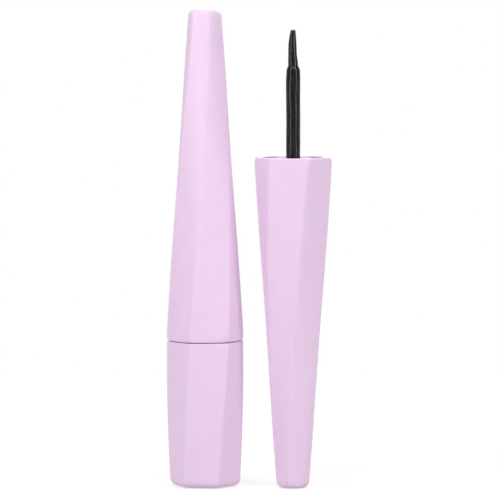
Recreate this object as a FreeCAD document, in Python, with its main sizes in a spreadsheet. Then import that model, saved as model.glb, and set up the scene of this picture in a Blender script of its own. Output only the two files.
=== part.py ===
import FreeCAD, Part
import os
import Sketcher
from FreeCAD import Placement, Rotation, Vector

# A liquid eyeliner pen. A twisted six-sided bottle holds a vial of ink, and a tall tapering screw cap
# carries the dip applicator. A second cap, drawn out, stands on its narrow end beside the closed pen.
# Units are millimetres and degrees. The pen's axis is Z, with the foot of the bottle at Z = 0.

SIZES = [
    # outer form: one six-sided body that twists steadily from foot to tip
    ("bottle_height", 39.0, "foot of the bottle to its shoulder"),
    ("parting_gap", 0.3, "open line between bottle and cap"),
    ("cap_length", 88.7, "mouth of the cap to its tip"),
    ("foot_flats", 8.3, "axis to a flat side at the foot"),
    ("shoulder_flats", 9.07, "axis to a flat side at the bottle's shoulder"),
    ("mouth_flats", 9.22, "axis to a flat side at the cap's mouth"),
    ("tip_flats", 3.95, "axis to a flat side at the cap's tip"),
    ("bottle_swell", 0.23, "bulge of the bottle's flats at mid height"),
    ("cap_swell", 0.47, "bulge of the cap's flats at mid height"),
    ("foot_turn", -8.0, "angle of the first corner at the foot"),
    ("twist_rate", 0.417, "degrees of twist for each millimetre of height"),
    ("edge_flat", 0.6, "width of the narrow flat that eases each long edge"),
    ("foot_round", 1.6, "rounding of the foot"),
    ("shoulder_ease", 0.35, "easing of the bottle's shoulder edge"),
    ("mouth_round", 0.6, "rounding of the cap's mouth edge"),
    ("tip_chamfer", 1.1, "chamfer round the cap's tip"),
    # bottle and vial
    ("bottle_wall", 1.0, "bottle wall at the foot, over a flat"),
    ("foot_thickness", 1.8, "floor of the bottle"),
    ("vial_gap", 0.1, "vial to bottle bore, all round"),
    ("vial_wall", 0.9, "wall of the vial"),
    ("vial_floor", 1.0, "floor of the vial"),
    ("vial_shoulder", 1.2, "thickness of the vial's shoulder below its collar"),
    ("collar_height", 2.0, "collar that sits on the bottle's shoulder"),
    ("neck_height", 12.0, "top of the neck above the bottle's shoulder"),
    ("neck_wall", 1.1, "wall of the neck"),
    ("ink_headroom", 10.8, "surface of the ink below the vial's shoulder"),
    ("ink_gap", 0.4, "ink to applicator"),
    ("ink_film", 0.03, "ink to vial wall"),
    # wiper in the neck
    ("wiper_flange", 0.8, "thickness of the wiper's flange"),
    ("flange_inset", 0.5, "wiper's flange inside the edge of the neck"),
    ("wiper_length", 9.0, "wiper below its flange"),
    ("wiper_wall", 0.75, "wall of the wiper's sleeve"),
    ("lip_length", 1.0, "thickness of the wiper's lip"),
    ("wipe_gap", 0.05, "wiper's lip to the stem"),
    # inner cap, washer and their seats in the cap
    ("mouth_wall", 0.8, "cap wall at its mouth, over a flat"),
    ("collar_gap", 0.25, "collar to the mouth of the cap, all round"),
    ("collar_head", 0.5, "room over the collar in the mouth of the cap"),
    ("seat_wall", 1.15, "cap wall over a flat at the top of the inner cap"),
    ("press_gap", 0.05, "pressed pieces, all round"),
    ("inner_wall", 0.95, "wall of the inner cap"),
    ("thread_room", 0.95, "neck to inner cap, where the threads run"),
    ("roof_thickness", 1.4, "roof of the inner cap"),
    ("boss_wall", 1.1, "wall of the boss that grips the stem"),
    ("boss_height", 8.0, "boss above the roof"),
    ("boss_end", 1.0, "closed end of the boss"),
    ("washer_thickness", 0.8, "sealing washer under the roof"),
    ("washer_gap", 0.15, "washer to inner cap and to stem"),
    ("seal_gap", 0.05, "washer to the wiper's flange when closed"),
    ("hollow_wall", 1.4, "cap wall over a flat at the top of each part of its hollow"),
    ("hollow_step", 30.0, "wide part of the hollow above the inner cap"),
    ("tip_depth", 13.0, "solid end of the cap above the narrow part of its hollow"),
    # applicator
    ("stem_radius", 1.95, "stem"),
    ("dip_clearance", 2.45, "free end of the brush above the vial's floor"),
    ("brush_reach", 9.7, "brush beyond the stem"),
    ("brush_radius", 1.18, "brush where it leaves the stem"),
    ("brush_taper", 3.6, "free end of the brush to where it starts to taper"),
    ("brush_taper_radius", 1.0, "brush where it starts to taper"),
    ("brush_blunt", 1.4, "length of the brush's blunt end"),
    ("brush_blunt_radius", 0.79, "brush above its blunt end"),
    ("brush_end_radius", 0.54, "brush at its free end"),
    ("tuft_hollow", 0.13, "depth of the hollows between the tufts"),
    ("socket_depth", 5.0, "brush held inside the stem"),
    ("socket_gap", 0.03, "brush to its socket, all round"),
    ("lip_wall", 0.12, "stem wall round the brush"),
    ("nose_radius", 1.77, "stem above its shoulder"),
    ("nose_shoulder", 1.2, "length of the stem's shoulder"),
    ("nose_taper", 2.8, "length over which the stem narrows to its nose"),
    # where the drawn cap stands
    ("stand_right", 23.65, "closed pen's axis to the drawn cap's axis, along X"),
    ("stand_front", 4.0, "drawn cap in front of the closed pen"),
]


def cap_flats(level):
    """Axis to a flat side of the cap at a level above its mouth."""
    share = f"(({level}) / dims.cap_length)"
    return (f"dims.mouth_flats + (dims.tip_flats - dims.mouth_flats) * {share}"
            f" + 4 * dims.cap_swell * {share} * (1 - {share})")


# Places and fits that follow from the sizes above. Levels named for the cap start at its mouth.
FITS = [
    ("rim_level", "dims.bottle_height + dims.parting_gap"),
    ("vial_base", "dims.foot_thickness"),
    ("bottle_bore", "dims.foot_flats - dims.bottle_wall"),
    ("vial_radius", "fits.bottle_bore - dims.vial_gap"),
    ("vial_bore", "fits.vial_radius - dims.vial_wall"),
    ("ink_floor", "fits.vial_base + dims.vial_floor"),
    ("shoulder_low", "dims.bottle_height - dims.vial_shoulder"),
    ("collar_top", "dims.bottle_height + dims.collar_height"),
    ("neck_top", "dims.bottle_height + dims.neck_height"),
    ("wiper_top", "fits.neck_top + dims.wiper_flange"),
    ("mouth_bore", "dims.mouth_flats - dims.mouth_wall"),
    ("collar_radius", "fits.mouth_bore - dims.collar_gap"),
    ("mouth_depth", "dims.collar_height - dims.parting_gap + dims.collar_head"),
    ("washer_low", "fits.wiper_top + dims.seal_gap - fits.rim_level"),
    ("roof_low", "fits.washer_low + dims.washer_thickness"),
    ("seat_top", "fits.roof_low + dims.roof_thickness"),
    ("seat_bore", cap_flats("fits.seat_top") + " - dims.seat_wall"),
    ("inner_radius", "fits.seat_bore - dims.press_gap"),
    ("inner_bore", "fits.inner_radius - dims.inner_wall"),
    ("neck_radius", "fits.inner_bore - dims.thread_room"),
    ("neck_bore", "fits.neck_radius - dims.neck_wall"),
    ("wiper_radius", "fits.neck_bore - dims.press_gap"),
    ("wiper_bore", "fits.wiper_radius - dims.wiper_wall"),
    ("lip_bore", "dims.stem_radius + dims.wipe_gap"),
    ("boss_bore", "dims.stem_radius + dims.press_gap"),
    ("boss_radius", "fits.boss_bore + dims.boss_wall"),
    ("boss_top", "fits.seat_top + dims.boss_height"),
    ("socket_top", "fits.boss_top - dims.boss_end"),
    ("step_level", "fits.seat_top + dims.hollow_step"),
    ("wide_radius", cap_flats("fits.step_level") + " - dims.hollow_wall"),
    ("hollow_top", "dims.cap_length - dims.tip_depth"),
    ("narrow_radius", cap_flats("fits.hollow_top") + " - dims.hollow_wall"),
    ("dip_level", "fits.ink_floor + dims.dip_clearance"),
    ("wand_reach", "fits.rim_level - fits.dip_level"),
    ("stem_reach", "fits.wand_reach - dims.brush_reach"),
    ("stem_length", "fits.stem_reach + fits.socket_top"),
    ("socket_radius", "dims.brush_radius + dims.socket_gap"),
    ("brush_length", "dims.brush_reach + dims.socket_depth"),
]

CORNERS = 6
HALF_SIDE = 180 / CORNERS
MAIN_SPANS = 4
FOOT_STEPS = 3
MOUTH_STEPS = 2
CHAMFER_STEPS = 1
TUFTS = 9
HALF_TUFT = 180 / TUFTS

doc = FreeCAD.newDocument("eyeliner_pen")
sheet = doc.addObject("Spreadsheet::Sheet", "dims")
for row, (alias, number, meaning) in enumerate(SIZES, start=1):
    sheet.set(f"A{row}", meaning)
    sheet.set(f"B{row}", str(number))
    sheet.setAlias(f"B{row}", alias)
doc.recompute()

fits = doc.addObject("App::VarSet", "fits")
for fit, formula in FITS:
    fits.addProperty("App::PropertyFloat", fit)
    fits.setExpression(fit, formula)
    doc.recompute()

pieces = []


def value(expression):
    """The number that an expression gives with the sheet as it stands."""
    return float(sheet.evalExpression(expression))


def new_piece(label):
    body = doc.addObject("PartDesign::Body", label)
    body.Label = label
    pieces.append(body)
    return body


def new_sketch(body, name, role):
    """An empty sketch on one of the body's own origin planes."""
    plane = next(feature for feature in body.Origin.OriginFeatures if feature.Role == role)
    sketch = body.newObject("Sketcher::SketchObject", name)
    sketch.AttachmentSupport = (plane, [""])
    sketch.MapMode = "FlatFace"
    return sketch


def bind(sketch, kind, where, expression):
    """Adds a dimension to a sketch and ties it to an expression."""
    index = sketch.addConstraint(Sketcher.Constraint(kind, *where, value(expression)))
    sketch.setExpression(f"Constraints[{index}]", expression)


def level_sketch(body, name, height):
    """A sketch square to the axis, raised by an expression."""
    sketch = new_sketch(body, name, "XY_Plane")
    sketch.setExpression("AttachmentOffset.Base.z", height)
    return sketch


def close_ring(sketch, points):
    """Joins points with lines into a closed ring and returns the number of lines."""
    count = len(points)
    for index, point in enumerate(points):
        sketch.addGeometry(Part.LineSegment(point, points[(index + 1) % count]))
    for index in range(count):
        sketch.addConstraint(Sketcher.Constraint("Coincident", index, 2, (index + 1) % count, 1))
    return count


def guide_circle(sketch, radius):
    """A construction circle round the axis."""
    circle = sketch.addGeometry(Part.Circle(Vector(), Vector(0, 0, 1), radius), True)
    sketch.addConstraint(Sketcher.Constraint("Coincident", circle, 3, -1, 1))
    return circle


def facet_ring(body, name, height, turn, flats):
    """One level of the twisted form: a hexagon whose corners are eased by narrow flats."""
    sketch = level_sketch(body, name, height)
    sketch.setExpression("AttachmentOffset.Rotation.Angle", turn)
    half_edge = value("dims.edge_flat") / 2
    reach = value(f"({flats}) / cos({HALF_SIDE}) - dims.edge_flat / 2 * tan({HALF_SIDE})")
    corner = Vector(reach, half_edge, 0)
    points = []
    for step in range(CORNERS):
        turned = Rotation(Vector(0, 0, 1), 2 * HALF_SIDE * step)
        points.append(turned * Vector(corner.x, -corner.y, 0))
        points.append(turned * corner)
    lines = close_ring(sketch, points)
    circle = guide_circle(sketch, corner.Length)
    for index in range(lines):
        sketch.addConstraint(Sketcher.Constraint("PointOnObject", index, 1, circle))
    for index in range(2, lines):
        sketch.addConstraint(Sketcher.Constraint("Equal", index % 2, index))
    sketch.addConstraint(Sketcher.Constraint("Vertical", 0))
    bind(sketch, "Distance", (0,), "dims.edge_flat")
    bind(sketch, "Distance", (-1, 1, 1), flats)
    return sketch


def tuft_ring(body, name, height, radius):
    """One level of the brush: a ring of tufts with hollows between them."""
    sketch = level_sketch(body, name, height)
    outer = value(radius)
    hollow = f"({radius}) - dims.tuft_hollow"
    inner = value(hollow)
    points = []
    for step in range(TUFTS):
        points.append(Rotation(Vector(0, 0, 1), HALF_TUFT * 2 * step) * Vector(outer, 0, 0))
        points.append(Rotation(Vector(0, 0, 1), HALF_TUFT * (2 * step + 1)) * Vector(inner, 0, 0))
    lines = close_ring(sketch, points)
    circles = [guide_circle(sketch, outer), guide_circle(sketch, inner)]
    for index in range(lines):
        sketch.addConstraint(Sketcher.Constraint("PointOnObject", index, 1, circles[index % 2]))
    for index in range(1, lines):
        sketch.addConstraint(Sketcher.Constraint("Equal", 0, index))
    sketch.addConstraint(Sketcher.Constraint("PointOnObject", 0, 1, -1))
    bind(sketch, "Radius", (circles[0],), radius)
    bind(sketch, "Radius", (circles[1],), hollow)
    return sketch


def loft(body, name, rings, ruled):
    feature = body.newObject("PartDesign::AdditiveLoft", name)
    feature.Profile = rings[0]
    feature.Sections = rings[1:]
    feature.Ruled = ruled
    doc.recompute()
    return feature


class TwistedForm:
    """The outer form of one shell, from its low end to its high end, with eased ends."""

    def __init__(self, body, level, length, low_flats, high_flats, swell):
        self.body = body
        self.level = level
        self.length = length
        self.low_flats = low_flats
        self.high_flats = high_flats
        self.swell = swell

    def ring(self, name, height, inset):
        share = f"(({height}) / ({self.length}))"
        flats = (f"{self.low_flats} + ({self.high_flats} - {self.low_flats}) * {share}"
                 f" + 4 * {self.swell} * {share} * (1 - {share}) - ({inset})")
        turn = f"dims.foot_turn + dims.twist_rate * ({self.level} + {height})"
        return facet_ring(self.body, name, height, turn, flats)

    def build(self, low_ease, low_steps, high_ease, high_steps):
        span = f"({self.length} - {low_ease} - {high_ease}) / {MAIN_SPANS}"
        main = [self.ring(f"main_ring_{step}", f"{low_ease} + {span} * {step}", "0")
                for step in range(MAIN_SPANS + 1)]
        low = [self.eased_ring("low", step, low_steps, low_ease, "{rise}") for step in range(low_steps)]
        high = [self.eased_ring("high", step, high_steps, high_ease, self.length + " - {rise}")
                for step in range(high_steps)]
        loft(self.body, "main_form", main, False)
        loft(self.body, "low_end", low + main[:1], True)
        loft(self.body, "high_end", high + main[-1:], True)

    def eased_ring(self, end, step, steps, ease, height):
        """A ring on the quarter round of an end; one step alone gives a plain chamfer."""
        angle = 90 * step / steps
        rise = f"{ease} * (1 - cos({angle}))"
        return self.ring(f"{end}_ring_{step}", height.format(rise=rise), f"{ease} * (1 - sin({angle}))")


def half_section(body, name, corners):
    """A closed half profile beside the axis, from (radius, height) expressions."""
    sketch = new_sketch(body, name, "XZ_Plane")
    points = [Vector(value(radius), value(height), 0) for radius, height in corners]
    close_ring(sketch, points)
    for index, (radius, height) in enumerate(corners):
        if radius == "0":
            sketch.addConstraint(Sketcher.Constraint("PointOnObject", index, 1, -2))
        else:
            bind(sketch, "DistanceX", (-1, 1, index, 1), radius)
        if height == "0":
            sketch.addConstraint(Sketcher.Constraint("PointOnObject", index, 1, -1))
        else:
            bind(sketch, "DistanceY", (-1, 1, index, 1), height)
    return sketch


def turn_solid(body, name, corners):
    """Revolves a half profile about the axis."""
    profile = half_section(body, f"{name}_profile", corners)
    feature = body.newObject("PartDesign::Revolution", name)
    feature.Profile = profile
    feature.ReferenceAxis = (profile, ["V_Axis"])
    doc.recompute()


def turn_cut(body, name, corners):
    """Cuts a revolved half profile out of the body and makes sure that it took something away."""
    before = body.Shape.Volume
    profile = half_section(body, f"{name}_profile", corners)
    feature = body.newObject("PartDesign::Groove", name)
    feature.Profile = profile
    feature.ReferenceAxis = (profile, ["V_Axis"])
    doc.recompute()
    if not body.Shape.Volume < before:
        raise RuntimeError(f"{body.Label}: {name} cuts nothing")


def bottle_shell():
    body = new_piece("bottle_shell")
    form = TwistedForm(body, "0", "dims.bottle_height", "dims.foot_flats", "dims.shoulder_flats",
                       "dims.bottle_swell")
    form.build("dims.foot_round", FOOT_STEPS, "dims.shoulder_ease", CHAMFER_STEPS)
    turn_cut(body, "vial_well", [
        ("0", "dims.foot_thickness"),
        ("fits.bottle_bore", "dims.foot_thickness"),
        ("fits.bottle_bore", "dims.bottle_height"),
        ("0", "dims.bottle_height"),
    ])


def ink_vial():
    body = new_piece("ink_vial")
    turn_solid(body, "vial", [
        ("0", "fits.vial_base"),
        ("fits.vial_radius", "fits.vial_base"),
        ("fits.vial_radius", "dims.bottle_height"),
        ("fits.collar_radius", "dims.bottle_height"),
        ("fits.collar_radius", "fits.collar_top"),
        ("fits.neck_radius", "fits.collar_top"),
        ("fits.neck_radius", "fits.neck_top"),
        ("fits.neck_bore", "fits.neck_top"),
        ("fits.neck_bore", "fits.shoulder_low"),
        ("fits.vial_bore", "fits.shoulder_low"),
        ("fits.vial_bore", "fits.ink_floor"),
        ("0", "fits.ink_floor"),
    ])


def neck_wiper():
    body = new_piece("neck_wiper")
    flange_radius = "fits.neck_radius - dims.flange_inset"
    lip_low = "fits.neck_top - dims.wiper_length"
    lip_top = f"{lip_low} + dims.lip_length"
    turn_solid(body, "wiper", [
        ("fits.lip_bore", lip_low),
        ("fits.wiper_radius", lip_low),
        ("fits.wiper_radius", "fits.neck_top"),
        (flange_radius, "fits.neck_top"),
        (flange_radius, "fits.wiper_top"),
        ("fits.wiper_bore", "fits.wiper_top"),
        ("fits.wiper_bore", lip_top),
        ("fits.lip_bore", lip_top),
    ])


def ink():
    body = new_piece("ink")
    outer = "fits.vial_bore - dims.ink_film"
    level = "fits.shoulder_low - dims.ink_headroom"
    well_low = "fits.dip_level - dims.ink_gap"
    turn_solid(body, "fill", [
        ("0", "fits.ink_floor"),
        (outer, "fits.ink_floor"),
        (outer, level),
        ("dims.stem_radius + dims.ink_gap", level),
        ("dims.stem_radius + dims.ink_gap", well_low),
        ("0", well_low),
    ])


def cap_shell(label):
    body = new_piece(label)
    form = TwistedForm(body, "fits.rim_level", "dims.cap_length", "dims.mouth_flats", "dims.tip_flats",
                       "dims.cap_swell")
    form.build("dims.mouth_round", MOUTH_STEPS, "dims.tip_chamfer", CHAMFER_STEPS)
    turn_cut(body, "hollow", [
        ("0", "0"),
        ("fits.mouth_bore", "0"),
        ("fits.mouth_bore", "fits.mouth_depth"),
        ("fits.seat_bore", "fits.mouth_depth"),
        ("fits.seat_bore", "fits.seat_top"),
        ("fits.wide_radius", "fits.seat_top"),
        ("fits.wide_radius", "fits.step_level"),
        ("fits.narrow_radius", "fits.step_level"),
        ("fits.narrow_radius", "fits.hollow_top"),
        ("0", "fits.hollow_top"),
    ])
    return body, "0"


def inner_cap(label):
    body = new_piece(label)
    turn_solid(body, "sleeve", [
        ("fits.inner_bore", "fits.mouth_depth"),
        ("fits.inner_radius", "fits.mouth_depth"),
        ("fits.inner_radius", "fits.seat_top"),
        ("fits.boss_radius", "fits.seat_top"),
        ("fits.boss_radius", "fits.boss_top"),
        ("0", "fits.boss_top"),
        ("0", "fits.socket_top"),
        ("fits.boss_bore", "fits.socket_top"),
        ("fits.boss_bore", "fits.roof_low"),
        ("fits.inner_bore", "fits.roof_low"),
    ])
    return body, "0"


def cap_washer(label):
    body = new_piece(label)
    inner = "dims.stem_radius + dims.washer_gap"
    outer = "fits.inner_bore - dims.washer_gap"
    turn_solid(body, "washer", [
        (inner, "fits.washer_low"),
        (outer, "fits.washer_low"),
        (outer, "fits.roof_low"),
        (inner, "fits.roof_low"),
    ])
    return body, "0"


def wand_stem(label):
    """The stem, modelled upwards from its nose."""
    body = new_piece(label)
    turn_solid(body, "stem", [
        ("fits.socket_radius", "0"),
        ("fits.socket_radius + dims.lip_wall", "0"),
        ("dims.nose_radius", "dims.nose_shoulder"),
        ("dims.stem_radius", "dims.nose_shoulder + dims.nose_taper"),
        ("dims.stem_radius", "fits.stem_length"),
        ("0", "fits.stem_length"),
        ("0", "dims.socket_depth"),
        ("fits.socket_radius", "dims.socket_depth"),
    ])
    return body, "-fits.stem_reach"


def brush_tip(label):
    """The brush, modelled upwards from its blunt free end, with its root in the stem's socket."""
    body = new_piece(label)
    stations = [
        ("0", "dims.brush_end_radius"),
        ("dims.brush_blunt", "dims.brush_blunt_radius"),
        ("dims.brush_taper", "dims.brush_taper_radius"),
        ("dims.brush_reach", "dims.brush_radius"),
        ("fits.brush_length", "dims.brush_radius"),
    ]
    rings = [tuft_ring(body, f"ring_{step}", height, radius)
             for step, (height, radius) in enumerate(stations)]
    loft(body, "tuft", rings, True)
    return body, "-fits.wand_reach"


def stand_closed(body, seat):
    """Sets a piece of the cap on the closed pen."""
    body.setExpression("Placement.Base.z", f"fits.rim_level + {seat}")


def stand_drawn(body, seat):
    """Sets a piece of the drawn cap, turned over on its narrow end beside the pen."""
    body.Placement = Placement(Vector(), Rotation(Vector(0, 1, 0), 180))
    body.setExpression("Placement.Base.x", "dims.stand_right")
    body.setExpression("Placement.Base.y", "-dims.stand_front")
    body.setExpression("Placement.Base.z", f"dims.cap_length - ({seat})")


def write_pieces():
    """Checks every object and writes each piece to its own file."""
    doc.recompute()
    for item in doc.Objects:
        if "Invalid" in item.State or "Error" in item.State:
            raise RuntimeError(f"{item.Name} failed: {item.State}")
    for body in pieces:
        if body.Shape.isNull() or not body.Shape.isValid() or len(body.Shape.Solids) != 1:
            raise RuntimeError(f"{body.Label} is not one valid solid")
    os.makedirs("parts", exist_ok=True)
    for body in pieces:
        body.Shape.exportStep(f"parts/{body.Label}.step")
        print(f"{body.Label}: {body.Shape.Volume:.1f} cubic millimetres")


bottle_shell()
ink_vial()
neck_wiper()
ink()
for prefix, stand in (("", stand_closed), ("drawn_", stand_drawn)):
    for make in (cap_shell, inner_cap, cap_washer, wand_stem, brush_tip):
        stand(*make(prefix + make.__name__))
write_pieces()
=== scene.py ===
import math

import bmesh
import bpy
from mathutils import Matrix, Vector, noise


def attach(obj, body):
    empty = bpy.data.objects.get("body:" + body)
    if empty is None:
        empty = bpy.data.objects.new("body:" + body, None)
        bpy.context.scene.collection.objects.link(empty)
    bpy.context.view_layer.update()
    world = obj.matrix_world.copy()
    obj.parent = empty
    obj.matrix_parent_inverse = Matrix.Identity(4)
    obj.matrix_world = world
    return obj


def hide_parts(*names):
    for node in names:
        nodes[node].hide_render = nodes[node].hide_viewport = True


# A closed liquid eyeliner pen, and beside it a second cap drawn out and stood on its narrow end.
# Pieces are shaped in millimetres on the pen's own axis, and put in place in metres.

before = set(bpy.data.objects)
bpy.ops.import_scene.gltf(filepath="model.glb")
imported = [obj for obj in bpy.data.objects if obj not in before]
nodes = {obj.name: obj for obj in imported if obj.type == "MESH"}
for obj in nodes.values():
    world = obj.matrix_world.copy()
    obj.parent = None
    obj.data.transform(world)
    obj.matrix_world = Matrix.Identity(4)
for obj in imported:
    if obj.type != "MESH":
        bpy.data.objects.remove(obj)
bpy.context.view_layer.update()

MM = 0.001
WHITE = (1, 1, 1, 1)

# Sizes in millimetres that several pieces share. Levels named for the cap start at its mouth.

BOTTLE_HEIGHT = 39.0
PARTING_GAP = 0.3
RIM_LEVEL = BOTTLE_HEIGHT + PARTING_GAP
CAP_LENGTH = 88.7
MOUTH_FLATS = 9.22
MOUTH_WALL = 0.8
MOUTH_BORE = MOUTH_FLATS - MOUTH_WALL
COLLAR_HEIGHT = 2.0
COLLAR_HEAD = 0.5
MOUTH_DEPTH = COLLAR_HEIGHT - PARTING_GAP + COLLAR_HEAD
FOOT_THICKNESS = 1.8
BOTTLE_BORE = 7.3
SEAT_TOP = 14.75
SEAT_BORE = 7.454
PRESS_GAP = 0.05
INNER_RADIUS = SEAT_BORE - PRESS_GAP
INNER_WALL = 0.95
INNER_BORE = INNER_RADIUS - INNER_WALL
THREAD_ROOM = 0.95
NECK_RADIUS = INNER_BORE - THREAD_ROOM
NECK_WALL = 1.1
NECK_BORE = NECK_RADIUS - NECK_WALL
NECK_HEIGHT = 12.0
NECK_TOP = BOTTLE_HEIGHT + NECK_HEIGHT
BOSS_HEIGHT = 8.0
BOSS_TOP = SEAT_TOP + BOSS_HEIGHT
BOSS_END = 1.0
BOSS_SOCKET_TOP = BOSS_TOP - BOSS_END
STEM_RADIUS = 1.95
STEM_GAP = 0.05

STAND_RIGHT = 23.65
STAND_FRONT = 4.0
UPSIDE_DOWN = Matrix.Rotation(math.pi, 4, "Y")
CLOSED = Matrix.Identity(4)
DRAWN = Matrix.Translation((STAND_RIGHT, -STAND_FRONT, RIM_LEVEL + CAP_LENGTH)) @ UPSIDE_DOWN

# Camera: a long lens at the height of the pen's tip, looking down a little.

PICTURE_WIDTH = 134.5 * MM
CAMERA_DISTANCE = 1.0
SENSOR = 36.0
AIM = Vector((12.1, 0.0, 63.58)) * MM
CAMERA_RISE = 66.8 * MM

camera_data = bpy.data.cameras.new("camera")
camera = bpy.data.objects.new("camera", camera_data)
bpy.context.scene.collection.objects.link(camera)
camera.location = AIM + Vector((0, -CAMERA_DISTANCE, CAMERA_RISE))
camera.rotation_euler = (AIM - camera.location).to_track_quat("-Z", "Y").to_euler()
camera_data.sensor_width = SENSOR
camera_data.lens = SENSOR * (AIM - camera.location).length / PICTURE_WIDTH
bpy.context.scene.camera = camera
bpy.context.scene.view_settings.view_transform = "Standard"


# Materials

class Value:
    """A socket that takes part in arithmetic."""

    def __init__(self, finish, socket):
        self.finish = finish
        self.socket = socket

    def combine(self, operation, first, second):
        return self.finish.node("ShaderNodeMath", {"operation": operation}, {0: first, 1: second})

    def __add__(self, other):
        return self.combine("ADD", self, other)

    __radd__ = __add__

    def __sub__(self, other):
        return self.combine("SUBTRACT", self, other)

    def __rsub__(self, other):
        return self.combine("SUBTRACT", other, self)

    def __mul__(self, other):
        return self.combine("MULTIPLY", self, other)

    __rmul__ = __mul__

    def most(self, other):
        return self.combine("MAXIMUM", self, other)


class Finish:
    """A node tree, built one node at a time."""

    def __init__(self, tree):
        self.tree = tree
        tree.nodes.clear()

    def node(self, kind, settings=None, inputs=None, out=0):
        """Adds a node: first its settings, then the values or links of its sockets."""
        made = self.tree.nodes.new(kind)
        for name, setting in (settings or {}).items():
            setattr(made, name, setting)
        for key, given in (inputs or {}).items():
            socket = made.inputs[key] if isinstance(key, int) else self.find(made, key)
            if isinstance(given, Value):
                self.tree.links.new(given.socket, socket)
            else:
                socket.default_value = given
        return Value(self, made.outputs[out]) if made.outputs else made

    def find(self, made, key):
        """The socket that has this identifier or name."""
        return next(socket for socket in made.inputs if key in (socket.identifier, socket.name))

    def blend(self, factor, first, second):
        """One colour over another."""
        return self.node("ShaderNodeMix", {"data_type": "RGBA"},
                         {"Factor_Float": factor, "A_Color": first, "B_Color": second}, out=2)

    def place(self, along=1.0):
        """Object coordinates; below 1, a pattern is drawn out along the pen's axis."""
        coordinates = self.node("ShaderNodeTexCoord", out=3)
        return self.node("ShaderNodeMapping", None, {"Vector": coordinates, "Scale": (1, 1, along)})

    def cloud(self, where, size, detail=2.0, roughness=0.5):
        """Noise whose patches are about as wide as the size, in metres."""
        return self.node("ShaderNodeTexNoise", None,
                         {"Vector": where, "Scale": 1 / size, "Detail": detail, "Roughness": roughness})

    def spread(self, value, low, high, bottom=0.0, top=1.0):
        """Stretches a range of values to another, held at its ends."""
        return self.node("ShaderNodeMapRange", {"clamp": True},
                         {"Value": value, "From Min": low, "From Max": high,
                          "To Min": bottom, "To Max": top})

    def bump(self, height, depth, strength):
        """A normal raised by a pattern, to a depth in metres."""
        return self.node("ShaderNodeBump", None, {"Height": height, "Distance": depth, "Strength": strength})

    def surface(self, shader):
        self.node("ShaderNodeOutputMaterial", None, {"Surface": shader})

    def coating(self, sockets):
        """One principled surface."""
        self.surface(self.node("ShaderNodeBsdfPrincipled", None, sockets))


def srgb(red, green, blue):
    """A display colour from 0 to 255 as the light that it stands for."""
    parts = []
    for part in (red, green, blue):
        share = part / 255
        parts.append(share / 12.92 if share <= 0.04045 else ((share + 0.055) / 1.055) ** 2.4)
    return (*parts, 1.0)


def new_material(name):
    material = bpy.data.materials.new(name)
    material.use_nodes = True
    return material, Finish(material.node_tree)


def satin_lilac():
    """Satin moulded plastic: a faint cloudiness in the colour and a very fine grain."""
    material, finish = new_material("satin_lilac")
    where = finish.place()
    clouds = finish.cloud(where, 9 * MM, 3.0)
    flow = finish.cloud(finish.place(0.22), 4 * MM, 2.0)
    grain = finish.cloud(where, 0.16 * MM, 2.0)
    tone = finish.spread(clouds * 0.65 + flow * 0.35, 0.35, 0.65)
    colour = finish.blend(tone, srgb(233, 205, 234), srgb(236, 209, 237))
    speckle = finish.spread(finish.cloud(where, 0.5 * MM, 1.0), 0.62, 0.78, 0.0, 0.16)
    colour = finish.blend(speckle, colour, srgb(228, 197, 229))
    finish.coating({
        "Base Color": colour,
        "Roughness": 0.36 + 0.10 * clouds + 0.05 * grain,
        "Normal": finish.bump(grain, 0.012 * MM, 0.35),
    })
    return material


def milky_plastic():
    """Milky lilac plastic of the vial, with faint flow lines up its sides."""
    material, finish = new_material("milky_plastic")
    flow = finish.cloud(finish.place(0.15), 2 * MM, 3.0)
    grain = finish.cloud(finish.place(), 0.2 * MM, 2.0)
    colour = finish.blend(flow, srgb(232, 206, 233), srgb(240, 220, 241))
    finish.coating({
        "Base Color": colour,
        "Roughness": 0.26 + 0.14 * flow,
        "Normal": finish.bump(grain, 0.01 * MM, 0.3),
    })
    return material


def soft_wiper():
    """Soft insert of the neck: greyish white, a little stained by ink."""
    material, finish = new_material("soft_wiper")
    stain = finish.spread(finish.cloud(finish.place(), 1.6 * MM, 4.0), 0.5, 0.75)
    colour = finish.blend(stain * 0.35, srgb(222, 219, 222), srgb(120, 116, 120))
    finish.coating({
        "Base Color": colour,
        "Roughness": 0.42 + 0.2 * stain,
        "Normal": finish.bump(stain, 0.02 * MM, 0.4),
    })
    return material


def liner_lilac():
    """Lilac plastic of the inner cap, smoother than the shells."""
    material, finish = new_material("liner_lilac")
    flow = finish.cloud(finish.place(0.3), 3 * MM, 3.0)
    grain = finish.cloud(finish.place(), 0.22 * MM, 2.0)
    colour = finish.blend(flow, srgb(224, 190, 222), srgb(231, 200, 231))
    finish.coating({
        "Base Color": colour,
        "Roughness": 0.32 + 0.12 * flow,
        "Normal": finish.bump(grain, 0.01 * MM, 0.3),
    })
    return material


def washer_rubber():
    """Dull grey sealing rubber with a fine pitted grain."""
    material, finish = new_material("washer_rubber")
    pits = finish.cloud(finish.place(), 0.25 * MM, 4.0, 0.65)
    colour = finish.blend(pits, srgb(148, 146, 150), srgb(186, 184, 187))
    finish.coating({
        "Base Color": colour,
        "Roughness": 0.66 + 0.2 * pits,
        "Normal": finish.bump(pits, 0.03 * MM, 0.5),
    })
    return material


def wet_black():
    """Black stem under a film of ink that has run lengthwise and dried unevenly."""
    material, finish = new_material("wet_black")
    runs = finish.cloud(finish.place(0.2), 1.4 * MM, 2.0)
    film = finish.cloud(finish.place(0.5), 2.4 * MM, 2.0)
    colour = finish.blend(runs, srgb(6, 6, 8), srgb(14, 14, 16))
    finish.coating({
        "Base Color": colour,
        "Roughness": finish.spread(film, 0.35, 0.68, 0.12, 0.24),
        "Specular IOR Level": 0.37,
        "Normal": finish.bump(runs, 0.05 * MM, 0.4),
    })
    return material


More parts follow.
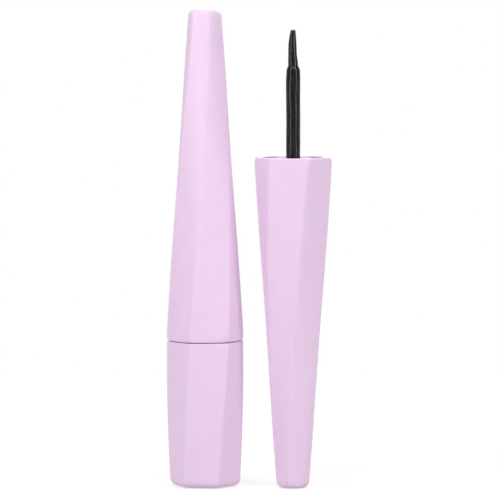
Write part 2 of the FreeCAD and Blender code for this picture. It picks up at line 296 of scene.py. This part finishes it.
def inked_hair():
    """Fine black hairs soaked in ink."""
    material, finish = new_material("inked_hair")
    strands = finish.cloud(finish.place(0.06), 0.14 * MM, 2.0)
    colour = finish.blend(strands, srgb(6, 6, 8), srgb(15, 15, 18))
    finish.coating({
        "Base Color": colour,
        "Roughness": 0.1 + 0.08 * strands,
        "Normal": finish.bump(strands, 0.008 * MM, 0.3),
    })
    return material


def black_ink():
    """The liquid itself: glossy black with a slow swirl of pigment."""
    material, finish = new_material("black_ink")
    swirl = finish.cloud(finish.place(), 3 * MM, 4.0)
    colour = finish.blend(swirl, srgb(9, 9, 11), srgb(19, 19, 23))
    finish.coating({
        "Base Color": colour,
        "Roughness": 0.05 + 0.06 * swirl,
    })
    return material


LILAC = satin_lilac()
MILKY = milky_plastic()
WIPER = soft_wiper()
LINER = liner_lilac()
RUBBER = washer_rubber()
WET_BLACK = wet_black()
HAIR = inked_hair()
INK = black_ink()


# Shaping

MERGE_DISTANCE = 1e-4
SHARP_ANGLE = math.radians(38)
CORNERS = 6
HALF_SIDE = math.pi / CORNERS
EDGE_STEPS = 8
FLAT_CUTS = 7
SIDE_FULLNESS = 0.28
SHELL_STEPS = CORNERS * (EDGE_STEPS + 1 + FLAT_CUTS)
SHELL_BORDER = 0.3


def finish_piece(bm, name, body, material, place, stands_for):
    """Turns a shape in millimetres into a piece in its place, riding on a body, in a solid's stead."""
    bmesh.ops.remove_doubles(bm, verts=bm.verts, dist=MERGE_DISTANCE)
    bmesh.ops.recalc_face_normals(bm, faces=bm.faces)
    bmesh.ops.transform(bm, matrix=Matrix.Scale(MM, 4) @ place, verts=bm.verts)
    for face in bm.faces:
        face.smooth = True
    for edge in bm.edges:
        edge.smooth = len(edge.link_faces) != 2 or edge.calc_face_angle() < SHARP_ANGLE
    mesh = bpy.data.meshes.new(name)
    bm.to_mesh(mesh)
    bm.free()
    mesh.materials.append(material)
    piece = bpy.data.objects.new(name, mesh)
    bpy.context.scene.collection.objects.link(piece)
    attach(piece, body)
    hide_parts(stands_for)


def corner_reach(flats, edge_round):
    """Axis to a rounded corner of a hexagon."""
    return edge_round + (flats - edge_round) / math.cos(HALF_SIDE)


def off_flat(edge):
    """How far round the axis an edge lies from the middle of the nearest flat side."""
    middle = edge.verts[0].co + edge.verts[1].co
    return abs(math.remainder(math.atan2(middle.x, middle.y) - HALF_SIDE, 2 * HALF_SIDE))


def facet_ring(bm, height, flats, edge_round):
    """A level hexagon with rounded corners and slightly full sides; returns its edges."""
    before = set(bm.edges)
    sharp = flats / math.cos(HALF_SIDE)
    corners = bmesh.ops.create_circle(bm, cap_ends=False, segments=CORNERS, radius=sharp,
                                      matrix=Matrix.Translation((0, 0, height)))["verts"]
    bmesh.ops.bevel(bm, geom=corners, offset=edge_round * math.tan(HALF_SIDE), offset_type="OFFSET",
                    affect="VERTICES", segments=EDGE_STEPS, profile=0.5, material=-1)
    sides = sorted(set(bm.edges) - before, key=off_flat)[:CORNERS]
    bmesh.ops.subdivide_edges(bm, edges=sides, cuts=FLAT_CUTS)
    ring = list(set(bm.edges) - before)
    furthest = corner_reach(flats, edge_round)
    for vert in {vert for edge in ring for vert in edge.verts}:
        reach = vert.co.xy.length
        vert.co.xy *= 1 + SIDE_FULLNESS * (furthest / reach - 1)
    return ring


def round_ring(bm, height, radius, steps):
    """A level circle; returns its edges."""
    points = bmesh.ops.create_circle(bm, cap_ends=False, segments=steps, radius=radius,
                                     matrix=Matrix.Translation((0, 0, height)))["verts"]
    return list({edge for point in points for edge in point.link_edges})


def take_in(bm, other):
    """Adds another shape to a shape."""
    mesh = bpy.data.meshes.new("taken_in")
    other.to_mesh(mesh)
    other.free()
    bm.from_mesh(mesh)
    bpy.data.meshes.remove(mesh)


def skin(bm, rings, border):
    """Joins each ring to the next, and closes the first and the last with a bordered disc."""
    for ring, following in zip(rings, rings[1:]):
        bmesh.ops.bridge_loops(bm, edges=ring + following)
    for ring in (rings[0], rings[-1]):
        disc = bmesh.ops.contextual_create(bm, geom=ring)["faces"]
        bmesh.ops.inset_region(bm, faces=disc, thickness=border, use_even_offset=True)


# The shells: one six-sided form that twists steadily from foot to tip

FOOT_TURN = math.radians(-8.0)
TWIST_RATE = math.radians(0.417)
LONG_EDGE_ROUND = 0.95
RING_PITCH = 1.4
QUARTER_STEPS = 6
CONE_STEPS = 8
ROUNDEST_SHARE = 0.96

FOOT_FLATS = 8.3
SHOULDER_FLATS = 9.07
BOTTLE_SWELL = 0.23
FOOT_ROUND = 1.6
FOOT_CORNER = 0.7
SHOULDER_ROUND = 0.3
SHOULDER_CORNER = 1.0
SHOULDER_RAISE = 0.1
BORE_CHAMFER = 0.1

TIP_FLATS = 3.95
CAP_SWELL = 0.47
TIP_CONE = 0.5
MOUTH_DROP = 0.06
LIP_ROUND = 0.4
LIP_CORNER = 5.0
LIP_SIDE_CORNER = 2.3
LINE_LEVEL = 0.52
LINE_STEP = 0.08
LINE_DEPTH = 0.07
LINE_CORNER = 2.1
LINE_CORNER_STEP = 0.1
LIP_FADE = [(1.3, 0.0, 1.2), (1.9, 0.0, LONG_EDGE_ROUND)]
FLARE_LOW = 0.04
FLARE_TOP = 0.16
FLARE_WIDTH = 0.08
HOLLOW_STEP = 30.0
STEP_LEVEL = SEAT_TOP + HOLLOW_STEP
WIDE_RADIUS = 5.63
NARROW_RADIUS = 3.63
TIP_DEPTH = 13.0
HOLLOW_TOP = CAP_LENGTH - TIP_DEPTH


def twist(bm):
    """Turns every level of a shape about the axis by its height."""
    first_corner = math.pi / 2
    for vert in bm.verts:
        turn = FOOT_TURN + TWIST_RATE * vert.co.z - first_corner
        vert.co.rotate(Matrix.Rotation(turn, 3, "Z"))


def swelling(length, low_flats, high_flats, swell):
    """Axis to a flat side along a shell, as a function of the height above its low end."""
    def flats(height):
        share = height / length
        return low_flats + (high_flats - low_flats) * share + 4 * swell * share * (1 - share)
    return flats


def quarter_round(radius, end_corner, side_corner=LONG_EDGE_ROUND):
    """(rise, inset, corner rounding) rows from an end face to the side."""
    rows = []
    for step in range(QUARTER_STEPS + 1):
        angle = math.pi / 2 * step / QUARTER_STEPS
        inset = radius * (1 - math.sin(angle))
        corner = side_corner + (end_corner - side_corner) * inset / radius
        rows.append((radius * (1 - math.cos(angle)), inset, corner))
    return rows


def coned_end(flats, width):
    """Rows of a turned cone that cuts the six corners of an end back further than its flat sides."""
    rows = []
    cut = corner_reach(flats, LONG_EDGE_ROUND) - flats + width
    for step in range(CONE_STEPS + 1):
        rise = cut * step / CONE_STEPS
        reach = flats - width + rise
        side = min(flats, reach)
        sharp = side / math.cos(HALF_SIDE)
        corner = (sharp - reach) / (1 / math.cos(HALF_SIDE) - 1)
        rows.append((rise, flats - side, min(corner, ROUNDEST_SHARE * side)))
    return rows


def outer_rings(bm, level, length, flats, low_rows, high_rows):
    """The rings of a shell's outside, from its low end to its high end."""
    rings = [facet_ring(bm, level + rise, flats(rise) - inset, corner) for rise, inset, corner in low_rows]
    bottom = low_rows[-1][0]
    top = length - high_rows[-1][0]
    spans = round((top - bottom) / RING_PITCH)
    for step in range(1, spans):
        height = bottom + (top - bottom) * step / spans
        rings.append(facet_ring(bm, level + height, flats(height), LONG_EDGE_ROUND))
    for rise, inset, corner in reversed(high_rows):
        height = length - rise
        rings.append(facet_ring(bm, level + height, flats(height) - inset, corner))
    return rings


def bottle_shell():
    bm = bmesh.new()
    flats = swelling(BOTTLE_HEIGHT, FOOT_FLATS, SHOULDER_FLATS, BOTTLE_SWELL)
    foot = quarter_round(FOOT_ROUND, FOOT_CORNER)
    shoulder = quarter_round(SHOULDER_ROUND, SHOULDER_CORNER)
    bore = [
        (BOTTLE_HEIGHT - BORE_CHAMFER, BOTTLE_BORE + BORE_CHAMFER),
        (BOTTLE_HEIGHT - 2 * BORE_CHAMFER, BOTTLE_BORE),
        (FOOT_THICKNESS, BOTTLE_BORE),
    ]
    rings = outer_rings(bm, 0.0, BOTTLE_HEIGHT + SHOULDER_RAISE, flats, foot, shoulder)
    rings += [round_ring(bm, height, radius, SHELL_STEPS) for height, radius in bore]
    skin(bm, rings, SHELL_BORDER)
    twist(bm)
    finish_piece(bm, "bottle_twist", "bottle", LILAC, CLOSED, "bottle_shell")


def fine_line():
    """Rows of the shallow groove that runs round the cap just above its mouth."""
    depths = (0.0, LINE_DEPTH, LINE_DEPTH, 0.0)
    return [(LINE_LEVEL + LINE_STEP * step, depth, LINE_CORNER - LINE_CORNER_STEP * step)
            for step, depth in enumerate(depths)]


def cap_shell(prefix, body, place):
    bm = bmesh.new()
    flats = swelling(CAP_LENGTH, MOUTH_FLATS, TIP_FLATS, CAP_SWELL)
    lip = quarter_round(LIP_ROUND, LIP_CORNER, LIP_SIDE_CORNER) + fine_line() + LIP_FADE
    tip = coned_end(TIP_FLATS, TIP_CONE)
    hollow = [
        (FLARE_LOW, MOUTH_BORE + FLARE_WIDTH),
        (FLARE_TOP, MOUTH_BORE),
        (MOUTH_DEPTH, MOUTH_BORE),
        (MOUTH_DEPTH, SEAT_BORE),
        (SEAT_TOP, SEAT_BORE),
        (SEAT_TOP, WIDE_RADIUS),
        (STEP_LEVEL, WIDE_RADIUS),
        (STEP_LEVEL, NARROW_RADIUS),
        (HOLLOW_TOP, NARROW_RADIUS),
    ]
    outside = outer_rings(bm, RIM_LEVEL - MOUTH_DROP, CAP_LENGTH + MOUTH_DROP, flats, lip, tip)
    inside = [round_ring(bm, RIM_LEVEL + height, radius, SHELL_STEPS) for height, radius in hollow]
    skin(bm, outside[::-1] + inside, SHELL_BORDER)
    twist(bm)
    finish_piece(bm, prefix + "cap_twist", body, LILAC, place, prefix + "cap_shell")


# Turned pieces

TURN_STEPS = 96
CORNER_STEPS = 3
LONG_SHARE = 4


def turned(profile, corner_round, closed=False, cuts_per_mm=0):
    """Turns a profile of (radius, height) points about the axis, with its free corners rounded."""
    bm = bmesh.new()
    points = [bm.verts.new((radius, 0, height)) for radius, height in profile]
    for point, following in zip(points, points[1:]):
        bm.edges.new((point, following))
    if closed:
        bm.edges.new((points[-1], points[0]))
    free = points if closed else points[1:-1]
    bmesh.ops.bevel(bm, geom=free, offset=corner_round, offset_type="OFFSET", affect="VERTICES",
                    segments=CORNER_STEPS, profile=0.5, material=-1)
    if cuts_per_mm:
        long_edges = [edge for edge in bm.edges if edge.calc_length() > LONG_SHARE * corner_round]
        for edge in long_edges:
            bmesh.ops.subdivide_edges(bm, edges=[edge], cuts=int(edge.calc_length() * cuts_per_mm))
    bmesh.ops.spin(bm, geom=list(bm.verts) + list(bm.edges), cent=(0, 0, 0), axis=(0, 0, 1), dvec=(0, 0, 0),
                   angle=2 * math.pi, steps=TURN_STEPS, use_merge=True)
    return bm


THREAD_PITCH = 2.7
THREAD_TURNS = 2.1
THREAD_STEPS = 150
THREAD_FADE = 0.12
THREAD_HALF_ROOT = 0.62
THREAD_HALF_CREST = 0.22


def add_thread(bm, root, crest, low):
    """Winds a screw ridge from a root radius to a crest radius, fading out at both ends."""
    ridge = bmesh.new()
    corners = [(root, -THREAD_HALF_ROOT), (crest, -THREAD_HALF_CREST),
               (crest, THREAD_HALF_CREST), (root, THREAD_HALF_ROOT)]
    profile = ridge.faces.new([ridge.verts.new((radius, 0, low + height)) for radius, height in corners])
    rise = THREAD_PITCH * THREAD_TURNS / THREAD_STEPS
    bmesh.ops.spin(ridge, geom=[profile], cent=(0, 0, 0), axis=(0, 0, 1), dvec=(0, 0, rise),
                   angle=2 * math.pi * THREAD_TURNS, steps=THREAD_STEPS, use_duplicate=False)
    for vert in ridge.verts:
        around = math.atan2(vert.co.y, vert.co.x) / (2 * math.pi) % 1
        wound = around + round((vert.co.z - low) / THREAD_PITCH - around)
        share = min(1.0, wound / THREAD_FADE, (THREAD_TURNS - wound) / THREAD_FADE)
        reach = vert.co.xy.length
        vert.co.xy *= (root + (reach - root) * max(0.0, share)) / reach
    take_in(bm, ridge)


VIAL_GAP = 0.1
VIAL_RADIUS = BOTTLE_BORE - VIAL_GAP
VIAL_WALL = 0.9
VIAL_BORE = VIAL_RADIUS - VIAL_WALL
VIAL_BASE_THICKNESS = 1.0
VIAL_FLOOR = FOOT_THICKNESS + VIAL_BASE_THICKNESS
VIAL_SHOULDER = 1.2
SHOULDER_LOW = BOTTLE_HEIGHT - VIAL_SHOULDER
COLLAR_GAP = 0.25
COLLAR_RADIUS = MOUTH_BORE - COLLAR_GAP
COLLAR_TOP = BOTTLE_HEIGHT + COLLAR_HEIGHT
VIAL_ROUND = 0.22
NECK_THREAD_ROOT = 5.47
NECK_THREAD_CREST = 6.0
NECK_THREAD_LOW = 43.2


def ink_vial():
    bm = turned([
        (0, FOOT_THICKNESS),
        (VIAL_RADIUS, FOOT_THICKNESS),
        (VIAL_RADIUS, BOTTLE_HEIGHT),
        (COLLAR_RADIUS, BOTTLE_HEIGHT),
        (COLLAR_RADIUS, COLLAR_TOP),
        (NECK_RADIUS, COLLAR_TOP),
        (NECK_RADIUS, NECK_TOP),
        (NECK_BORE, NECK_TOP),
        (NECK_BORE, SHOULDER_LOW),
        (VIAL_BORE, SHOULDER_LOW),
        (VIAL_BORE, VIAL_FLOOR),
        (0, VIAL_FLOOR),
    ], VIAL_ROUND)
    add_thread(bm, NECK_THREAD_ROOT, NECK_THREAD_CREST, NECK_THREAD_LOW)
    finish_piece(bm, "vial_with_thread", "bottle", MILKY, CLOSED, "ink_vial")


WIPER_RADIUS = NECK_BORE - PRESS_GAP
WIPER_WALL = 0.75
WIPER_BORE = WIPER_RADIUS - WIPER_WALL
WIPER_LENGTH = 9.0
WIPER_LOW = NECK_TOP - WIPER_LENGTH
FLANGE_INSET = 0.5
FLANGE_RADIUS = NECK_RADIUS - FLANGE_INSET
FLANGE_THICKNESS = 0.8
FLANGE_TOP = NECK_TOP + FLANGE_THICKNESS
LIP_BORE = STEM_RADIUS + STEM_GAP
LIP_LENGTH = 1.0
LIP_TOP = WIPER_LOW + LIP_LENGTH
WIPER_ROUND = 0.16


def neck_wiper():
    bm = turned([
        (LIP_BORE, WIPER_LOW),
        (WIPER_RADIUS, WIPER_LOW),
        (WIPER_RADIUS, NECK_TOP),
        (FLANGE_RADIUS, NECK_TOP),
        (FLANGE_RADIUS, FLANGE_TOP),
        (WIPER_BORE, FLANGE_TOP),
        (WIPER_BORE, LIP_TOP),
        (LIP_BORE, LIP_TOP),
    ], WIPER_ROUND, closed=True)
    finish_piece(bm, "wiper_insert", "bottle", WIPER, CLOSED, "neck_wiper")


ROOF_THICKNESS = 1.4
ROOF_LOW = SEAT_TOP - ROOF_THICKNESS
BOSS_BORE = STEM_RADIUS + STEM_GAP
BOSS_WALL = 1.1
BOSS_RADIUS = BOSS_BORE + BOSS_WALL
INNER_ROUND = 0.2
CAP_THREAD_ROOT = 6.49
CAP_THREAD_CREST = 6.09
CAP_THREAD_LOW = 3.9


def inner_cap(prefix, body, place):
    profile = [
        (0, BOSS_SOCKET_TOP),
        (BOSS_BORE, BOSS_SOCKET_TOP),
        (BOSS_BORE, ROOF_LOW),
        (INNER_BORE, ROOF_LOW),
        (INNER_BORE, MOUTH_DEPTH),
        (INNER_RADIUS, MOUTH_DEPTH),
        (INNER_RADIUS, SEAT_TOP),
        (BOSS_RADIUS, SEAT_TOP),
        (BOSS_RADIUS, BOSS_TOP),
        (0, BOSS_TOP),
    ]
    bm = turned([(radius, RIM_LEVEL + height) for radius, height in profile], INNER_ROUND)
    add_thread(bm, CAP_THREAD_ROOT, CAP_THREAD_CREST, RIM_LEVEL + CAP_THREAD_LOW)
    finish_piece(bm, prefix + "cap_liner", body, LINER, place, prefix + "inner_cap")


# The applicator

DIP_CLEARANCE = 2.45
BRUSH_END = VIAL_FLOOR + DIP_CLEARANCE
BRUSH_REACH = 9.7
STEM_FOOT = BRUSH_END + BRUSH_REACH
STEM_TOP = RIM_LEVEL + BOSS_SOCKET_TOP
SOCKET_DEPTH = 5.0
SOCKET_RADIUS = 1.21
SOCKET_TOP = STEM_FOOT + SOCKET_DEPTH
NOSE_RADIUS = 1.48
NOSE_SHOULDER = 1.0
NOSE_SHOULDER_RADIUS = 1.86
NOSE_LENGTH = 2.6
STEM_ROUND = 0.05
STEM_CUTS_PER_MM = 3.0
FILM_FROM = 1.25
FILM_DEPTH = 0.08
FILM_SINK = 0.4
BEAD_SHARE = 0.7
BEAD_START = 0.3
BEAD_SHIFT = 7.0


def patches(point, across, along, shift=0.0):
    """Noise at a point, with so many patches to a millimetre across the axis and along it."""
    return noise.noise(Vector((point.x * across + shift, point.y * across, point.z * along)))


def wand_stem(prefix, body, place):
    """The stem, under a film of ink that has run and gathered."""
    bm = turned([
        (0, SOCKET_TOP),
        (SOCKET_RADIUS, SOCKET_TOP),
        (SOCKET_RADIUS, STEM_FOOT),
        (NOSE_RADIUS, STEM_FOOT),
        (NOSE_SHOULDER_RADIUS, STEM_FOOT + NOSE_SHOULDER),
        (STEM_RADIUS, STEM_FOOT + NOSE_LENGTH),
        (STEM_RADIUS, STEM_TOP),
        (0, STEM_TOP),
    ], STEM_ROUND, cuts_per_mm=STEM_CUTS_PER_MM)
    for vert in bm.verts:
        reach = vert.co.xy.length
        if reach > FILM_FROM:
            film = patches(vert.co, across=0.75, along=0.2)
            bead = patches(vert.co, across=1.5, along=0.9, shift=BEAD_SHIFT)
            thickness = FILM_DEPTH * (film - FILM_SINK + BEAD_SHARE * max(0.0, bead - BEAD_START))
            vert.co.xy *= 1 + thickness / reach
    finish_piece(bm, prefix + "applicator_stem", body, WET_BLACK, place,
                 prefix + "wand_stem")


BRUSH_LENGTH = BRUSH_REACH + SOCKET_DEPTH
CLUMP_SIDES = 48
CLUMP_PITCH = 0.35
CLUMP_END = 0.12
CLUMP_BORDER = 0.15
CLUMPS = 5
RIDGE_DEPTH = 0.014
RIDGE_SINK = 0.6
WANDER = 0.5
WANDER_RATE = 0.55
TWINE = 0.25
TWINE_RATE = 1.3
UNEVENNESS = 0.02
GATHERED = 9.65
BRUSH_STATIONS = [
    (-1.0, 0.5), (0.1, 0.65), (1.4, 0.86), (3.5, 1.09), (6.6, 1.18), (8.2, 1.31), (GATHERED, 1.35),
    (BRUSH_REACH, 1.19), (20.0, 1.19),
]
SIDE_SWAY = 0.2
SIDE_SWAY_RATE = 0.3
FRONT_SWAY = 0.05
FRONT_SWAY_RATE = 0.6

HAIRS = 46
HAIR_SIDES = 5
HAIR_CUTS = 26
HAIR_RADIUS = 0.06
HAIR_POINT = 0.3
HAIR_START = 0.06
HAIR_START_SPREAD = 0.12
HAIR_START_RATE = 1.7
HAIR_BED = 0.93
HAIR_SINK = 1.5
HAIR_DRIFT = 0.22
HAIR_DRIFT_STEP = 0.7
HAIR_DRIFT_RATE = 0.35
LONG_HAIR_EDGE = 1.0
GOLDEN_ANGLE = math.radians(137.508)


def brush_radius(height):
    """Radius of the brush at a height above its free end."""
    for (low, near), (high, far) in zip(BRUSH_STATIONS, BRUSH_STATIONS[1:]):
        if height <= high:
            return near + (far - near) * (height - low) / (high - low)


def sway(height):
    """How far the free part of the brush bends off the axis."""
    free = max(0.0, BRUSH_REACH - height)
    aside = SIDE_SWAY * math.sin(SIDE_SWAY_RATE * free)
    forward = FRONT_SWAY * math.sin(FRONT_SWAY_RATE * free)
    return Vector((aside, forward))


def hair_clump():
    """The mass that the ink draws together, with a ridge for each of its clumps."""
    bm = bmesh.new()
    levels = int(BRUSH_LENGTH / CLUMP_PITCH)
    pitch = (BRUSH_LENGTH - CLUMP_END) / (levels - 1)
    heights = sorted([CLUMP_END + pitch * level for level in range(levels)] + [GATHERED])
    rings = [round_ring(bm, height, brush_radius(height), CLUMP_SIDES) for height in heights]
    skin(bm, rings, CLUMP_BORDER)
    for vert in bm.verts:
        height = vert.co.z
        around = math.atan2(vert.co.y, vert.co.x)
        wander = WANDER * math.sin(WANDER_RATE * height) + TWINE * math.sin(TWINE_RATE * height + 2 * around)
        ridge = RIDGE_DEPTH * (math.cos(CLUMPS * around + wander) - RIDGE_SINK)
        vert.co.xy *= 1 + ridge + UNEVENNESS * patches(vert.co, across=2, along=0.5)
    return bm


def single_hair(number):
    """One hair, from its loose end to the bottom of the socket; the first hairs lie innermost."""
    strand = bmesh.new()
    start = HAIR_START + HAIR_START_SPREAD * math.sin(number * HAIR_START_RATE)
    middle = Matrix.Translation((0, 0, (BRUSH_LENGTH + start) / 2))
    bmesh.ops.create_cone(strand, cap_ends=True, segments=HAIR_SIDES, radius1=HAIR_POINT * HAIR_RADIUS,
                          radius2=HAIR_RADIUS, depth=BRUSH_LENGTH - start, matrix=middle)
    sides = [edge for edge in strand.edges if edge.calc_length() > LONG_HAIR_EDGE]
    bmesh.ops.subdivide_edges(strand, edges=sides, cuts=HAIR_CUTS)
    share = math.sqrt((number + 0.5) / HAIRS)
    for vert in strand.verts:
        reach = HAIR_BED * share * brush_radius(vert.co.z) - HAIR_SINK * HAIR_RADIUS
        drift = noise.noise(Vector((0.0, number * HAIR_DRIFT_STEP, vert.co.z * HAIR_DRIFT_RATE)))
        turn = GOLDEN_ANGLE * number + HAIR_DRIFT * drift
        vert.co.xy += reach * Vector((math.cos(turn), math.sin(turn)))
    return strand


def brush_tip(prefix, body, place):
    """Hairs drawn together by ink into one ridged mass, with loose ends at the blunt tip."""
    bm = hair_clump()
    for number in range(HAIRS):
        take_in(bm, single_hair(number))
    for vert in bm.verts:
        vert.co.xy += sway(vert.co.z)
        vert.co.z += BRUSH_END
    finish_piece(bm, prefix + "brush_hairs", body, HAIR, place, prefix + "brush_tip")


def dress(material, *names):
    """Gives solids that stay as they are their finish."""
    for name in names:
        nodes[name].data.materials.clear()
        nodes[name].data.materials.append(material)


bottle_shell()
ink_vial()
neck_wiper()
for prefix, body, place in (("", "cap", CLOSED), ("drawn_", "drawn_cap", DRAWN)):
    cap_shell(prefix, body, place)
    inner_cap(prefix, body, place)
    wand_stem(prefix, body, place)
    brush_tip(prefix, body, place)
dress(RUBBER, "cap_washer", "drawn_cap_washer")
dress(INK, "ink")


# Floor, light and background, in metres and watts

FLOOR_HALF = 3.0
FLOOR_DROP = 0.0002
FLOOR_COLOUR = (0.36, 0.35, 0.35, 1)
FLOOR_GLOW = 0.24
FLOOR_SHOWN_GLOW = 0.44
FADE_START = 0.06
FADE_END = 0.32


def seen_directly(finish):
    """One for rays that show the background: from the camera and through clear things."""
    camera_ray = finish.node("ShaderNodeLightPath", out="Is Camera Ray")
    return camera_ray.most(finish.node("ShaderNodeLightPath", out="Is Transmission Ray"))


def pale_floor():
    """A pale floor that glows a little, and that the camera sees only near the pens, with their shadows."""
    bm = bmesh.new()
    bmesh.ops.create_grid(bm, x_segments=2, y_segments=2, size=FLOOR_HALF)
    mesh = bpy.data.meshes.new("floor")
    bm.to_mesh(mesh)
    bm.free()
    floor = bpy.data.objects.new("floor", mesh)
    bpy.context.scene.collection.objects.link(floor)
    floor.location.z = -FLOOR_DROP
    material, finish = new_material("pale_floor")
    distance = finish.node("ShaderNodeVectorMath", {"operation": "LENGTH"}, {0: finish.place()}, out=1)
    fade = finish.spread(distance, FADE_START, FADE_END)
    seen = seen_directly(finish)
    shown = seen.most(finish.node("ShaderNodeLightPath", out="Is Glossy Ray"))
    matt = finish.node("ShaderNodeBsdfDiffuse", None, {"Color": FLOOR_COLOUR})
    strength = FLOOR_GLOW + FLOOR_SHOWN_GLOW * shown
    glow = finish.node("ShaderNodeEmission", None, {"Color": WHITE, "Strength": strength})
    lit = finish.node("ShaderNodeAddShader", None, {0: matt, 1: glow})
    clear = finish.node("ShaderNodeBsdfTransparent")
    finish.surface(finish.node("ShaderNodeMixShader", None, {0: fade * seen, 1: lit, 2: clear}))
    mesh.materials.append(material)


def white_surroundings():
    """White where it is seen; as light and in gloss it differs from the camera's side to behind the pens."""
    world = bpy.data.worlds.new("surroundings")
    world.use_nodes = True
    bpy.context.scene.world = world
    finish = Finish(world.node_tree)
    direction = finish.node("ShaderNodeTexCoord", out=0)
    ahead = finish.node("ShaderNodeSeparateXYZ", None, {0: direction}, out=1)
    ambient = finish.spread(ahead, low=-0.8, high=0.9, bottom=0.525, top=0.435)
    mirrored = finish.spread(ahead, low=0.1, high=0.7, bottom=0.25, top=0.75)
    glossy_ray = finish.node("ShaderNodeLightPath", out="Is Glossy Ray")
    lighting = ambient + (mirrored - ambient) * glossy_ray
    seen = seen_directly(finish)
    strength = lighting + (1 - lighting) * seen
    sky = finish.node("ShaderNodeBackground", None, {"Color": WHITE, "Strength": strength})
    finish.node("ShaderNodeOutputWorld", None, {"Surface": sky})


def soft_box(name, azimuth, elevation, distance, width, height, power):
    """An area lamp turned towards the pens; azimuth 0 is the camera's side, and 90 the right."""
    lamp = bpy.data.lights.new(name, "AREA")
    lamp.shape = "RECTANGLE"
    lamp.size = width
    lamp.size_y = height
    lamp.energy = power
    box = bpy.data.objects.new(name, lamp)
    bpy.context.scene.collection.objects.link(box)
    around = math.radians(azimuth)
    above = math.radians(elevation)
    level = math.cos(above)
    away = Vector((math.sin(around) * level, -math.cos(around) * level, math.sin(above)))
    box.location = AIM + away * distance
    box.rotation_euler = (-away).to_track_quat("-Z", "Y").to_euler()
    box.visible_camera = False


pale_floor()
white_surroundings()
soft_box("key", azimuth=-6, elevation=54, distance=0.42, width=0.26, height=0.18, power=0.27)
soft_box("back_fill", azimuth=172, elevation=34, distance=0.8, width=0.5, height=0.4, power=2.2)
soft_box("left_panel", azimuth=-49, elevation=30, distance=0.6, width=0.16, height=0.7, power=1.56)
soft_box("right_panel", azimuth=48, elevation=30, distance=0.6, width=0.16, height=0.7, power=1.42)
